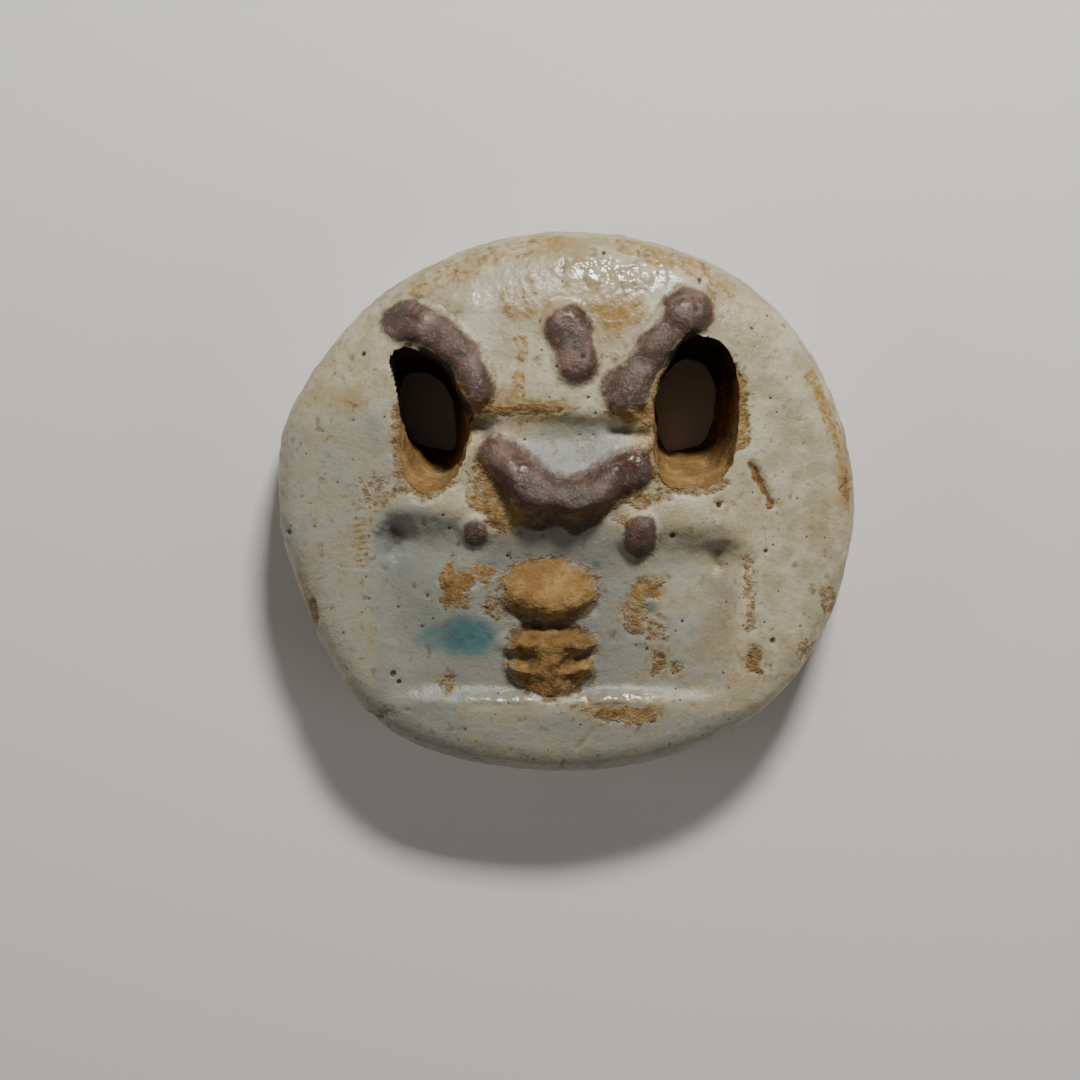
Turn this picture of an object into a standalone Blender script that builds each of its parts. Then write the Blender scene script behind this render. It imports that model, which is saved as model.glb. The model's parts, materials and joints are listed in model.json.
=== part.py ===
"""Round amulet of glazed frit paste, moulded with the mask of a squat household god.

It is one piece. It lies on its flat back with the face up: +X is the viewer's
right, +Y is towards the brow and +Z comes out of the face. The origin is the
middle of the footprint, on the surface that the back rests on.
"""

import math

import bmesh
import bpy
import numpy as np

# Driving sizes, in metres
FACE_WIDTH = 0.0426
FACE_HEIGHT = 0.0400
BODY_THICKNESS = 0.0105  # from the back to the level of the cheeks
CROWN_DROP = 0.0011  # the face is this much lower at its edge than in its middle
SHOULDER_RADIUS = 0.0024  # rounding between the face and the side
BACK_EDGE_RADIUS = 0.0008  # rounding between the side and the back
SIDE_BULGE = 0.00035  # the side swells by this much halfway up

# Pierced eyes: each opening's width and height at the level of the cheeks and at the back
LEFT_EYE_WIDTH = 0.0053
LEFT_EYE_HEIGHT = 0.0103
LEFT_EYE_BACK_WIDTH = 0.0051
LEFT_EYE_BACK_HEIGHT = 0.0073
RIGHT_EYE_WIDTH = 0.0060
RIGHT_EYE_HEIGHT = 0.0108
RIGHT_EYE_BACK_WIDTH = 0.0048
RIGHT_EYE_BACK_HEIGHT = 0.0073
SOCKET_REACH = 0.0016  # the face dips towards an eye over this distance
CUT_OVERRUN = 0.003  # an eye's cutter runs past the face and the back by this much

# How far each form stands out of the face or is sunk in it, in metres
BROW_RISE = 0.0013
BROW_LOBE_RISE = 0.0005
MARK_RISE = 0.0010
FOREHEAD_RISE = 0.0006
BRIDGE_DEPTH = 0.0005
NOSE_RISE = 0.0017
NOSE_FOLD_RISE = 0.0010
KNOB_RISE = 0.0011
CHEEK_RISE = 0.0005
LIP_RISE = 0.0017
CHIN_RISE = 0.0014
CHIN_GROOVE_DEPTH = 0.0008
FIELD_DEPTH = 0.0009
FIELD_CORNER_DEPTH = 0.0005
SOCKET_DIP = 0.0003

# The carving is laid out on a face of this many units across and high. A place
# on it is (units right of the middle, units above the middle).
LAYOUT_WIDTH = 42.6
LAYOUT_HEIGHT = 40.0

# The outline is an ellipse with swellings and flats: (direction in degrees from
# +X, share of the radius that it adds, half-width in degrees)
OUTLINE_SWELLINGS = [
    (317, 0.031, 22),
    (233, 0.045, 18),
    (199, -0.018, 12),
    (164, 0.019, 9),
    (118, -0.007, 9),
    (48, 0.021, 21),
]

# Raised strokes: the points that each runs through, and its half-width
LEFT_BROW = [(-11.5, 13.5), (-10.2, 13.2), (-8.8, 12.3), (-7.6, 11.0), (-6.9, 9.8), (-6.6, 8.8)]
RIGHT_BROW = [(8.7, 14.4), (7.3, 12.8), (6.2, 11.6), (5.2, 10.1), (4.5, 8.8), (4.4, 8.2)]
BROW_HALF_WIDTH = 1.6
NOSE_FOLD = [(-4.9, 4.0), (-3.2, 2.6), (-1.5, 1.5), (0.1, 1.1), (1.9, 1.6), (3.6, 2.6), (4.8, 3.1)]
NOSE_FOLD_HALF_WIDTH = 1.45

# Mounds: (middle, half-width, half-height) of the ellipse that each stands on
BROW_LOBES = [
    ((-10.8, 13.6), 1.9, 1.5),
    ((-6.8, 9.4), 1.4, 1.7),
    ((8.6, 14.4), 1.8, 1.7),
    ((6.3, 11.8), 1.3, 1.3),
    ((4.4, 8.7), 1.9, 1.7),
]
MARK_PARTS = [((0.1, 13.2), 1.9, 1.9), ((0.6, 10.9), 1.4, 2.4)]
LEFT_KNOB = ((-6.3, -1.5), 1.3, 1.3)
RIGHT_KNOB = ((4.9, -1.6), 1.5, 1.9)
SWELLINGS = [
    ((-10.4, 0.2), 4.4, 2.4),
    ((9.0, -0.6), 4.4, 2.6),
    ((8.4, -8.6), 4.6, 5.0),
    ((-8.2, -6.0), 4.0, 4.6),
]
LIP = ((-0.9, -5.6), 3.8, 2.35)
UNDERLIP = ((-1.0, -9.3), 3.2, 1.3)
TONGUE = ((-1.0, -10.8), 3.1, 2.6)
LENS_POINT = 1.7  # exponent of the lip's width: below 2 gives pointed ends
LENS_EDGE = 0.22  # share of the lip's size over which its edge drops
LENS_TILT = 0.6  # share of the lip's rise that is lost at its top

# Grooves that part the tongue from the underlip on each side
CHIN_GROOVES = [[(-4.4, -9.7), (-3.2, -10.3), (-2.2, -10.6)], [(0.1, -10.5), (1.2, -10.2), (2.3, -9.6)]]
CHIN_GROOVE_HALF_WIDTH = 0.7

# The forehead ends below in a ledge over the sunk bridge of the nose
LEDGE_Y = 6.7
LEDGE_STEP = 0.9
FOREHEAD_TOP_Y = 18.0
FOREHEAD_SIDES = (-8.5, 7.5)
FOREHEAD_SIDE_FADE = 2.0
BRIDGE = ((-0.2, 5.2), 6.6, 2.4)

# The nose is a wedge that leans out from the bridge and drops steeply at the tip
NOSE_TOP_Y = 6.0
NOSE_TIP_Y = 0.2
NOSE_BASE_Y = -1.7
NOSE_MIDDLE_X = -0.4
NOSE_HALF_WIDTHS = (2.7, 5.2)  # at the base and at the top
NOSE_SIDE_SLOPE = 1.6

# Sunk field round the mouth: left, right and bottom edges, the top edge's height at
# its two ends, and the width of each wall
FIELD_LEFT = -14.0
FIELD_RIGHT = 12.8
FIELD_BOTTOM = -13.9
FIELD_TOPS = (0.7, -0.8)
FIELD_SIDE_WALL = 1.4
FIELD_BOTTOM_WALL = 0.9
FIELD_TOP_WALL = 3.0
FIELD_TOP_FADE = 2.0  # the top wall is this much wider in the middle of the face
FIELD_CORNERS = [((-12.4, -1.4), 1.7, 1.5), ((11.2, -2.9), 1.8, 1.4)]

# Where each eye's opening is: its middle at the level of the cheeks and at the back, and
# the angle by which it leans, in degrees
LEFT_EYE_MIDDLES = ((-9.85, 6.75), (-10.3, 6.35))
RIGHT_EYE_MIDDLES = ((9.25, 7.2), (9.15, 7.0))
LEFT_EYE_LEAN = 4
RIGHT_EYE_LEAN = -4
EYE_ROUNDNESS = 2.8  # exponent of the outline: 2 is an ellipse, above it is squarer

# Fineness of the mesh
FACE_STEPS = 112
EYE_SIDES = 36
SIDE_RINGS = 5
BACK_EDGE_RINGS = 3
KEPT_SHARE = 0.26

UNIT_X = FACE_WIDTH / LAYOUT_WIDTH
UNIT_Y = FACE_HEIGHT / LAYOUT_HEIGHT

LEFT_EYE = {
    "middles": LEFT_EYE_MIDDLES,
    "widths": (LEFT_EYE_WIDTH, LEFT_EYE_BACK_WIDTH),
    "heights": (LEFT_EYE_HEIGHT, LEFT_EYE_BACK_HEIGHT),
    "lean": math.radians(LEFT_EYE_LEAN),
}
RIGHT_EYE = {
    "middles": RIGHT_EYE_MIDDLES,
    "widths": (RIGHT_EYE_WIDTH, RIGHT_EYE_BACK_WIDTH),
    "heights": (RIGHT_EYE_HEIGHT, RIGHT_EYE_BACK_HEIGHT),
    "lean": math.radians(RIGHT_EYE_LEAN),
}


def soft_step(share):
    """0 below 0, 1 above 1, with a smooth rise between."""
    share = np.clip(share, 0.0, 1.0)
    return share * share * (3.0 - 2.0 * share)


def rounded(share):
    """The round top of a stroke: 1 in its middle and 0 at share 1 of its half-width."""
    return np.clip(1.0 - share * share, 0.0, 1.0)


def stroke_distance(x, y, points):
    """Distance from each place to a chain of straight runs, in layout units."""
    nearest = np.full(np.shape(x), np.inf)
    for (ax, ay), (bx, by) in zip(points, points[1:]):
        run = np.hypot(bx - ax, by - ay)
        along = np.clip(((x - ax) * (bx - ax) + (y - ay) * (by - ay)) / run**2, 0.0, 1.0)
        gap = np.hypot(x - ax - along * (bx - ax), y - ay - along * (by - ay))
        nearest = np.minimum(nearest, gap)
    return nearest


def ellipse_share(x, y, form, point=2.0):
    """0 in the middle of an ellipse and 1 on it. A point below 2 sharpens its two ends."""
    (cx, cy), half_width, half_height = form
    across = np.abs(x - cx) / half_width
    up = np.abs(y - cy) / half_height
    return np.sqrt(across**point + up**2)


def mound(x, y, form):
    """A soft hill on an ellipse, level at its foot and at its top."""
    return soft_step(1.0 - ellipse_share(x, y, form))


def eye_section(eye, depth):
    """Middle, half-width and half-height of an eye's opening, in metres. A depth of 0 is
    the level of the cheeks and 1 is the back."""
    (front_x, front_y), (back_x, back_y) = eye["middles"]
    x = (front_x + (back_x - front_x) * depth) * UNIT_X
    y = (front_y + (back_y - front_y) * depth) * UNIT_Y
    half_width = (eye["widths"][0] + (eye["widths"][1] - eye["widths"][0]) * depth) / 2
    half_height = (eye["heights"][0] + (eye["heights"][1] - eye["heights"][0]) * depth) / 2
    return x, y, half_width, half_height


def eye_distance(x, y, eye):
    """About how far a place lies outside an eye's front opening, in metres."""
    middle_x, middle_y, half_width, half_height = eye_section(eye, 0.0)
    x = x * UNIT_X - middle_x
    y = y * UNIT_Y - middle_y
    across = (x * math.cos(eye["lean"]) + y * math.sin(eye["lean"])) / half_width
    up = (y * math.cos(eye["lean"]) - x * math.sin(eye["lean"])) / half_height
    share = (np.abs(across) ** EYE_ROUNDNESS + np.abs(up) ** EYE_ROUNDNESS) ** (1 / EYE_ROUNDNESS)
    return (share - 1.0) * half_width


def nose_height(x, y):
    """The wedge of the nose and the fold that runs round its tip and wings."""
    down = soft_step((NOSE_TOP_Y - y) / (NOSE_TOP_Y - NOSE_TIP_Y))
    undercut = soft_step((y - NOSE_BASE_Y) / (NOSE_TIP_Y - NOSE_BASE_Y))
    half_width = np.interp(y, (NOSE_BASE_Y, NOSE_TOP_Y), NOSE_HALF_WIDTHS)
    side = soft_step((half_width - np.abs(x - NOSE_MIDDLE_X)) / NOSE_SIDE_SLOPE + 0.5)
    fold = rounded(stroke_distance(x, y, NOSE_FOLD) / NOSE_FOLD_HALF_WIDTH)
    return NOSE_RISE * down * undercut * side + NOSE_FOLD_RISE * fold


def forehead_height(x, y):
    """The bulge of the forehead, its ledge, the brows and the mark between them."""
    above = soft_step((y - LEDGE_Y) / LEDGE_STEP + 0.5)
    fading = 1.0 - soft_step((y - LEDGE_Y) / (FOREHEAD_TOP_Y - LEDGE_Y))
    left, right = FOREHEAD_SIDES
    between = soft_step((x - left) / FOREHEAD_SIDE_FADE) * soft_step((right - x) / FOREHEAD_SIDE_FADE)
    height = FOREHEAD_RISE * above * fading * between
    for brow in (LEFT_BROW, RIGHT_BROW):
        height = height + BROW_RISE * rounded(stroke_distance(x, y, brow) / BROW_HALF_WIDTH)
    for lobe in BROW_LOBES:
        height = height + BROW_LOBE_RISE * mound(x, y, lobe)
    mark = np.minimum.reduce([ellipse_share(x, y, part) for part in MARK_PARTS])
    return height + MARK_RISE * rounded(mark) - BRIDGE_DEPTH * mound(x, y, BRIDGE)


def field_depth(x, y):
    """The sunk field below the cheeks, deepest where its walls are steep."""
    middle = 1.0 - soft_step(np.abs(x) / FIELD_RIGHT)
    top = np.interp(x, (FIELD_LEFT, FIELD_RIGHT), FIELD_TOPS)
    walls = [
        soft_step((x - FIELD_LEFT) / FIELD_SIDE_WALL),
        soft_step((FIELD_RIGHT - x) / FIELD_SIDE_WALL),
        soft_step((y - FIELD_BOTTOM) / FIELD_BOTTOM_WALL),
        soft_step((top - y) / (FIELD_TOP_WALL + FIELD_TOP_FADE * middle)),
    ]
    depth = FIELD_DEPTH * np.prod(walls, axis=0)
    for corner in FIELD_CORNERS:
        depth = depth + FIELD_CORNER_DEPTH * mound(x, y, corner)
    return depth


def lip_height(x, y):
    """A lens that stands out most along its lower edge."""
    (_, middle), _, half_height = LIP
    edge = soft_step((1.0 - ellipse_share(x, y, LIP, LENS_POINT)) / LENS_EDGE)
    down = soft_step((middle + half_height - y) / (2 * half_height))
    return LIP_RISE * edge * (1.0 - LENS_TILT * (1.0 - down))


def mouth_height(x, y):
    """The lip, the underlip with the tongue, the knobs beside the nose and the cheeks."""
    chin = np.minimum(ellipse_share(x, y, UNDERLIP), ellipse_share(x, y, TONGUE))
    chin = np.sqrt(rounded(chin))
    height = lip_height(x, y) + CHIN_RISE * chin
    for groove in CHIN_GROOVES:
        cut = rounded(stroke_distance(x, y, groove) / CHIN_GROOVE_HALF_WIDTH)
        height = height - CHIN_GROOVE_DEPTH * cut * chin
    for knob in (LEFT_KNOB, RIGHT_KNOB):
        height = height + KNOB_RISE * rounded(ellipse_share(x, y, knob))
    for swelling in SWELLINGS:
        height = height + CHEEK_RISE * mound(x, y, swelling)
    return height


def relief(x, y):
    """Height of the carving over the plain face at a place in layout units, in metres."""
    height = nose_height(x, y) + forehead_height(x, y) + mouth_height(x, y) - field_depth(x, y)
    for eye in (LEFT_EYE, RIGHT_EYE):
        height = height - SOCKET_DIP * soft_step(1.0 - eye_distance(x, y, eye) / SOCKET_REACH)
    return height


def outline_radius(direction):
    """Distance from the middle to the widest part of the side, in a direction in radians."""
    half_width = FACE_WIDTH / 2
    half_height = FACE_HEIGHT / 2
    radius = half_width * half_height / np.hypot(
        half_height * np.cos(direction), half_width * np.sin(direction)
    )
    share = 1.0
    for degrees, added, spread in OUTLINE_SWELLINGS:
        turn = np.degrees(direction) - degrees
        turn = (turn + 180.0) % 360.0 - 180.0
        share = share + added * np.exp(-((turn / spread) ** 2))
    return radius * share


def face_points(s, t):
    """The face over a square sheet: s and t run from -1 to 1, and the sheet's edge is
    drawn out to the rim. The last part of the way is the round of the shoulder."""
    u = s * np.sqrt(1.0 - t * t / 2.0)
    v = t * np.sqrt(1.0 - s * s / 2.0)
    direction = np.arctan2(v, u)
    share = np.hypot(u, v)
    rim = outline_radius(direction) - SIDE_BULGE
    flat = rim - SHOULDER_RADIUS
    travelled = share * (flat + SHOULDER_RADIUS * math.pi / 2)
    turn = np.clip((travelled - flat) / SHOULDER_RADIUS, 0.0, math.pi / 2)
    radius = np.minimum(travelled, flat) + SHOULDER_RADIUS * np.sin(turn)
    x = radius * np.cos(direction)
    y = radius * np.sin(direction)
    crown = BODY_THICKNESS - CROWN_DROP * (radius / rim) ** 2
    carved = relief(x / UNIT_X, y / UNIT_Y) * soft_step((rim - radius) / (2 * SHOULDER_RADIUS))
    z = crown + carved - SHOULDER_RADIUS * (1.0 - np.cos(turn))
    return np.stack([x, y, z], axis=-1)


def side_profile():
    """(distance inside the widest part, height) of each ring from the shoulder to the back."""
    top = BODY_THICKNESS - CROWN_DROP - SHOULDER_RADIUS
    rings = []
    for step in range(1, SIDE_RINGS + 1):
        share = step / SIDE_RINGS
        height = top + (BACK_EDGE_RADIUS - top) * share
        rings.append((SIDE_BULGE * (1.0 - math.sin(math.pi * share)), height))
    for step in range(1, BACK_EDGE_RINGS + 1):
        turn = math.pi / 2 * step / BACK_EDGE_RINGS
        inset = BACK_EDGE_RADIUS * (1.0 - math.cos(turn))
        rings.append((SIDE_BULGE + inset, BACK_EDGE_RADIUS * (1.0 - math.sin(turn))))
    return rings


def make_body(collection, material):
    """The amulet without its eyes: the carved face, the round side and the flat back."""
    mesh = bpy.data.meshes.new("bes_amulet")
    sheet = bmesh.new()
    bmesh.ops.create_grid(sheet, x_segments=FACE_STEPS, y_segments=FACE_STEPS, size=1.0)
    flat = np.array([vertex.co for vertex in sheet.verts])
    for vertex, place in zip(sheet.verts, face_points(flat[:, 0], flat[:, 1])):
        vertex.co = place
    for inset, height in side_profile():
        edge = [edge for edge in sheet.edges if edge.is_boundary]
        made = bmesh.ops.extrude_edge_only(sheet, edges=edge)["geom"]
        for vertex in (item for item in made if isinstance(item, bmesh.types.BMVert)):
            direction = math.atan2(vertex.co.y, vertex.co.x)
            radius = outline_radius(direction) - inset
            vertex.co = (radius * math.cos(direction), radius * math.sin(direction), height)
    bmesh.ops.contextual_create(sheet, geom=[edge for edge in sheet.edges if edge.is_boundary])
    bmesh.ops.recalc_face_normals(sheet, faces=sheet.faces)
    sheet.to_mesh(mesh)
    sheet.free()
    body = bpy.data.objects.new("bes_amulet", mesh)
    body.data.materials.append(material)
    collection.objects.link(body)
    return body


def eye_ring(eye, depth):
    """An eye's outline at a depth, also past the face and the back."""
    middle_x, middle_y, half_width, half_height = eye_section(eye, depth)
    ring = []
    for step in range(EYE_SIDES):
        turn = 2 * math.pi * step / EYE_SIDES
        cosine = math.cos(turn)
        sine = math.sin(turn)
        reach = (abs(cosine) ** EYE_ROUNDNESS + abs(sine) ** EYE_ROUNDNESS) ** (-1 / EYE_ROUNDNESS)
        across = half_width * reach * cosine
        up = half_height * reach * sine
        x = middle_x + across * math.cos(eye["lean"]) - up * math.sin(eye["lean"])
        y = middle_y + across * math.sin(eye["lean"]) + up * math.cos(eye["lean"])
        ring.append((x, y))
    return ring


def make_eye_cutter(name, eye, collection):
    """A closed tapered plug through an eye: a cylinder whose ends become its two sections."""
    mesh = bpy.data.meshes.new(name)
    plug = bmesh.new()
    bmesh.ops.create_cone(
        plug, cap_ends=True, segments=EYE_SIDES, radius1=1.0, radius2=1.0, depth=2.0
    )
    top = BODY_THICKNESS + CUT_OVERRUN
    bottom = -CUT_OVERRUN
    for end, height in ((1, top), (-1, bottom)):
        corners = [vertex for vertex in plug.verts if vertex.co.z * end > 0]
        corners.sort(key=lambda vertex: math.atan2(vertex.co.y, vertex.co.x) % (2 * math.pi))
        ring = eye_ring(eye, (BODY_THICKNESS - height) / BODY_THICKNESS)
        for vertex, (x, y) in zip(corners, ring):
            vertex.co = (x, y, height)
    bmesh.ops.recalc_face_normals(plug, faces=plug.faces)
    plug.to_mesh(mesh)
    plug.free()
    cutter = bpy.data.objects.new(name, mesh)
    cutter.hide_render = True
    cutter.display_type = "WIRE"
    collection.objects.link(cutter)
    return cutter


def make_glaze():
    """Weathered off-white glaze over a sandy body."""
    material = bpy.data.materials.new("weathered glaze")
    material.use_nodes = True
    shader = material.node_tree.nodes["Principled BSDF"]
    shader.inputs["Base Color"].default_value = (0.47, 0.43, 0.36, 1.0)
    shader.inputs["Roughness"].default_value = 0.4
    shader.inputs["Metallic"].default_value = 0.0
    return material


def new_collection(name):
    collection = bpy.data.collections.new(name)
    bpy.context.scene.collection.children.link(collection)
    return collection


def main():
    for old in list(bpy.data.objects):
        bpy.data.objects.remove(old)
    amulet = new_collection("Mask amulet")
    cutters = new_collection("Cutters")
    body = make_body(amulet, make_glaze())
    fewer = body.modifiers.new("fewer faces", "DECIMATE")
    fewer.ratio = KEPT_SHARE
    for name, eye in (("left eye cutter", LEFT_EYE), ("right eye cutter", RIGHT_EYE)):
        cut = body.modifiers.new(name, "BOOLEAN")
        cut.operation = "DIFFERENCE"
        cut.solver = "EXACT"
        cut.object = make_eye_cutter(name, eye, cutters)
    body.data.shade_smooth()


main()
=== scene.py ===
# %% [markdown]
# # A moulded faience amulet
#
# The real thing is a disc of sandy frit paste, about 43 mm across, pressed in a mould
# and fired with a thin alkaline glaze. It shows the mask of a squat household god:
# both eyes are pierced, the brows, the mark between them and the fold of the nose are
# raised and painted with manganese, and the mouth lies in a sunk field. Two thousand
# years have worn the glaze through to the orange body in many places.
#
# Everything here is worked out in millimetres on the face, with x to the viewer's
# right, y towards the brow and z out of the face. The amulet lies on its back.

# %% Load the solid model
import itertools
import json
import math

import bpy
import numpy as np
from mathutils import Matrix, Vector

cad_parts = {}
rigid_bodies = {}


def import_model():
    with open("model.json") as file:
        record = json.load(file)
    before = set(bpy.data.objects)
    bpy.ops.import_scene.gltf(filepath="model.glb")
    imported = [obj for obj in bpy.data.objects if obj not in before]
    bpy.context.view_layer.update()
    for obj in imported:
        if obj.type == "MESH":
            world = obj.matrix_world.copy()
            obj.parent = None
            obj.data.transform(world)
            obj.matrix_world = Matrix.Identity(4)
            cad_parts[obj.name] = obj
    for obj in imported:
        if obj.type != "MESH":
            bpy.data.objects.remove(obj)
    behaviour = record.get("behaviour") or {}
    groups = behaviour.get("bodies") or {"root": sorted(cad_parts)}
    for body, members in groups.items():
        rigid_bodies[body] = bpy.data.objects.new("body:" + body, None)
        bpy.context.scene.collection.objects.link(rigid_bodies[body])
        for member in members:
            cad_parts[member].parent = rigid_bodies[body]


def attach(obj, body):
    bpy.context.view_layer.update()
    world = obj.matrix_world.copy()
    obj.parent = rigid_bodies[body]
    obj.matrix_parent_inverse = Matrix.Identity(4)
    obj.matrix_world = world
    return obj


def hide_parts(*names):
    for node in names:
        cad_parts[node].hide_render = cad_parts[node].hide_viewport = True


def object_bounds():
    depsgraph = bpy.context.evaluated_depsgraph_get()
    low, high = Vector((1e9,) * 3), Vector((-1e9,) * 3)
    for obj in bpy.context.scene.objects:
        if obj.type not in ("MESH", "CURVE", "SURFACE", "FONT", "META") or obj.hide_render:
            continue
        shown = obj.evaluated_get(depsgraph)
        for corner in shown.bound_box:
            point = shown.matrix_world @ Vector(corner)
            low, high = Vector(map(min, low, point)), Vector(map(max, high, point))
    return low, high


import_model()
solid_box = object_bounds()
MM = 0.001
print("solid model, mm:", [round(size / MM, 2) for size in solid_box[1] - solid_box[0]])

# %% [markdown]
# ## Small tools for shapes
#
# A carved face can be sculpted by hand, or it can be written down as a height for
# each place (x, y). The second way is used here, because each form then has a name and
# a size that can be changed. A few small functions are enough: a smooth step, a round
# section for ridges, the distance to a stroke, the share of an oval, and how strongly a
# list of ovals covers a place.

# %% Smooth steps, strokes and ovals


def soft(share):
    """0 below 0 and 1 above 1, joined by the cubic 3t^2 - 2t^3."""
    share = np.clip(share, 0.0, 1.0)
    return share * share * (3.0 - 2.0 * share)


def round_top(share):
    """1 - t^2: the section of a round ridge, 1 on its line and 0 at its foot."""
    return np.clip(1.0 - share * share, 0.0, 1.0)


def stroke(x, y, points):
    """Distance to a chain of straight runs: the least distance to any of them."""
    nearest = np.full(np.shape(x), np.inf)
    for (ax, ay), (bx, by) in zip(points, points[1:]):
        run = math.hypot(bx - ax, by - ay)
        along = np.clip(((x - ax) * (bx - ax) + (y - ay) * (by - ay)) / run**2, 0.0, 1.0)
        away = np.hypot(x - ax - along * (bx - ax), y - ay - along * (by - ay))
        nearest = np.minimum(nearest, away)
    return nearest


def oval(x, y, middle, half_width, half_height, point=2.0):
    """0 in the middle of an ellipse and 1 on it; a point below 2 sharpens its two ends."""
    across = np.abs(x - middle[0]) / half_width
    up = np.abs(y - middle[1]) / half_height
    return np.sqrt(across**point + up**2)


def strongest(x, y, ovals, edge, run):
    """How strongly some ovals cover a place: the greatest of their strengths, each times a
    smooth step that rises over that run inwards from that edge, both in shares of the oval."""
    cover = np.zeros(np.shape(x))
    for middle, half_width, half_height, strength in ovals:
        inside = soft((edge - oval(x, y, middle, half_width, half_height)) / run)
        cover = np.maximum(cover, strength * inside)
    return cover


# %% [markdown]
# ## Unevenness
#
# Hand-pressed paste is never true. A random field stands for that: random values sit on
# a cubic lattice, and between them the value is blended smoothly. The seed is fixed, so
# the amulet comes out the same each time.

# %% A smooth random field
LATTICE = 48  # the lattice repeats after this many cells
LATTICE_SHIFT = 13.37  # keeps the middle of the amulet off a lattice point


def unevenness(places, spacing, seed):
    """Random values from -1 to 1 on a lattice of that spacing in mm, blended between
    lattice points by the product of three smooth steps."""
    values = np.random.default_rng(seed).uniform(-1.0, 1.0, (LATTICE, LATTICE, LATTICE))
    scaled = places / spacing + LATTICE_SHIFT
    base = np.floor(scaled).astype(int)
    share = soft(scaled - base)
    total = np.zeros(len(places))
    for corner in itertools.product((0, 1), repeat=3):
        weight = np.prod(np.where(corner, share, 1.0 - share), axis=1)
        i, j, k = ((base + corner) % LATTICE).T
        total += weight * values[i, j, k]
    return total


def crumb(places, spacing, seed):
    """Two layers of unevenness, the second half as wide and half as strong."""
    coarse = unevenness(places, spacing, seed)
    return (coarse + 0.5 * unevenness(places, spacing / 2, seed + 1)) / 1.5


def furrow(places, spacing, seed):
    """Narrow furrows, 1 along them: 1 - 3|n| for an unevenness n, so they run where it
    changes its sign."""
    return np.clip(1.0 - 3.0 * np.abs(unevenness(places, spacing, seed)), 0.0, 1.0)


def flat_places(x, y):
    """The places (x, y, 0) as rows."""
    return np.stack([np.ravel(x), np.ravel(y), np.zeros(np.size(x))], axis=1)


# %% [markdown]
# ## The forms of the mask
#
# Each form is a stroke or an oval with a height. The maker built most of the face with
# rolls and pellets of clay in the mould's master, so strokes and ovals are also how the
# real one was made.

# %% Sizes of the body, in mm
BODY = 10.5  # thickness at the cheeks
CROWN_DROP = 1.1  # the face is this much lower at its rim
SHOULDER = 2.4  # rounding between face and side
BROW_SHOULDER = 5.4  # its width at the brow
BROW_SPREAD = 0.9  # radians to each side of the brow over which it narrows
BACK_EDGE = 0.8  # rounding between side and back
SIDE_BULGE = 0.35
HALF_WIDTH = 21.3
HALF_HEIGHT = 20.0
# Swellings of the rim: direction in degrees, added share of the radius, width in degrees
SWELLINGS_OF_RIM = [
    (317, 0.031, 22), (233, 0.045, 18), (199, -0.018, 12), (164, 0.019, 9), (118, -0.007, 9),
    (48, 0.021, 21),
]
print("body:", 2 * HALF_WIDTH, "by", 2 * HALF_HEIGHT, "by", BODY, "mm")

# %% Places of the forms: strokes as places, ovals as middle, half width and half height
LEFT_BROW = [(-11.6, 13.6), (-10.2, 13.3), (-8.8, 12.4), (-7.6, 11.1), (-6.8, 9.8), (-6.5, 8.7)]
RIGHT_BROW = [(8.7, 14.5), (7.4, 12.9), (6.2, 11.6), (5.1, 10.1), (4.5, 8.8), (4.3, 8.1)]
BROW_PELLETS = [
    ((-11.0, 13.6), 1.9, 1.5), ((-8.0, 11.5), 1.5, 1.5), ((-6.7, 9.3), 1.5, 1.8),
    ((8.6, 14.3), 2.1, 2.0), ((6.3, 11.8), 1.6, 1.5), ((4.3, 8.8), 2.3, 2.0),
]
MARK = [(-0.1, 13.2), (0.4, 12.3), (0.7, 10.6)]
NOSE_FOLD = [(-4.9, 4.0), (-3.2, 2.6), (-1.5, 1.5), (0.1, 1.1), (1.9, 1.6), (3.6, 2.6), (4.8, 3.1)]
NOSTRILS = [(-2.1, 0.6, 1.0), (0.7, 0.8, 1.1)]  # x, how much lower, width
LEFT_KNOB = ((-6.5, -1.4), 1.2, 1.2, 0.5)  # the last value is its rise
RIGHT_KNOB = ((5.1, -1.6), 1.35, 1.7, 0.95)
LIP = ((-1.3, -5.8), 3.55, 2.3)
UNDERLIP = ((-1.15, -9.85), 3.3, 1.3)
TONGUE = ((-1.15, -11.0), 3.25, 2.35)
CHIN_LOBES = [
    ((-3.3, -9.6), 1.7, 0.9), ((0.8, -9.6), 1.7, 0.9), ((-3.3, -11.5), 1.3, 0.6),
    ((1.1, -11.5), 1.3, 0.6),
]
CHIN_GROOVES = [
    [(-5.0, -10.0), (-3.5, -10.7), (-2.4, -11.0)],
    [(0.1, -11.0), (0.9, -10.7), (2.6, -9.9)],
]
CHEEKS = [
    ((-10.4, 0.2), 4.4, 2.4), ((9.0, -0.6), 4.4, 2.6), ((8.4, -8.6), 4.6, 5.0),
    ((-8.2, -6.0), 4.0, 4.6),
]
FIELD_CORNERS = [((-12.3, -2.0), 1.7, 1.8), ((11.4, -3.4), 2.0, 1.4)]
FIELD_SIDES = (-14.0, 12.8)
FIELD_BOTTOM = -14.0
FIELD_TOPS = (0.7, -0.8)  # at its left and right side
LEDGE = [
    (-9.0, 7.1), (-7.0, 7.0), (-5.0, 6.9), (-3.0, 6.8), (0.0, 6.8), (2.5, 6.7), (4.0, 6.3),
    (6.0, 6.0),
]
LEDGE_HOLLOWS = [((-6.4, 6.0), 1.7, 1.1, 1.0), ((4.6, 5.7), 2.2, 0.8, 0.25)]
NOSE_TOP = 6.0
NOSE_FOOT = -0.8
NOSE_MIDDLE = -0.4

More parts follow.
